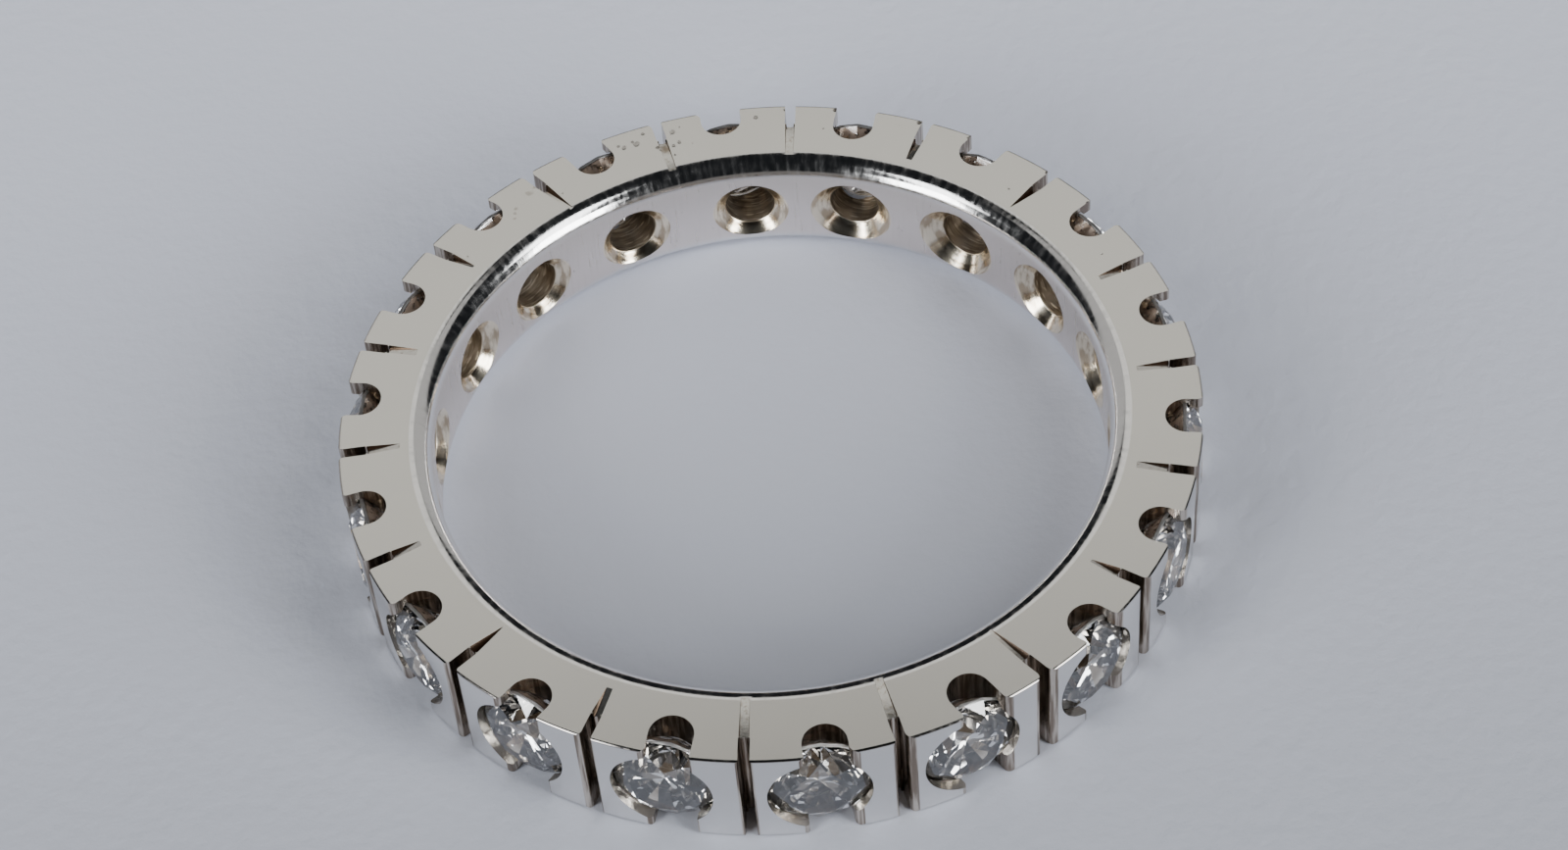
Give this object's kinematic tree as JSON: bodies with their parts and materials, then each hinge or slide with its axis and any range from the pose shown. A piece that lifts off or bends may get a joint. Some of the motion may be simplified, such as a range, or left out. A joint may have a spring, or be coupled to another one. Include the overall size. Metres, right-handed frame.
{
  "type": "eternity ring",
  "caption": "Full eternity ring of polished white gold, set all round with round brilliants held by small tabs, with a drilled and countersunk hole behind each stone.",
  "frame": {"origin": "on the ring's axis, in the plane of the side face that it rests on", "axes": "+Z along the ring's axis, upwards as it lies on its side; +Y towards the first stone, and the stones are counted clockwise as seen from above"},
  "size_m": [0.0216, 0.0216, 0.003],
  "materials": {
    "white_gold": "polished, with fine scratches",
    "brilliant": "polished facets"
  },
  "bodies": {
    "root": {"band": "white_gold", "stone_01": "brilliant", "stone_02": "brilliant", "stone_03": "brilliant", "stone_04": "brilliant", "stone_05": "brilliant", "stone_06": "brilliant", "stone_07": "brilliant", "stone_08": "brilliant", "stone_09": "brilliant", "stone_10": "brilliant", "stone_11": "brilliant", "stone_12": "brilliant", "stone_13": "brilliant", "stone_14": "brilliant", "stone_15": "brilliant", "stone_16": "brilliant", "stone_17": "brilliant", "stone_18": "brilliant"}
  },
  "joints": []
}
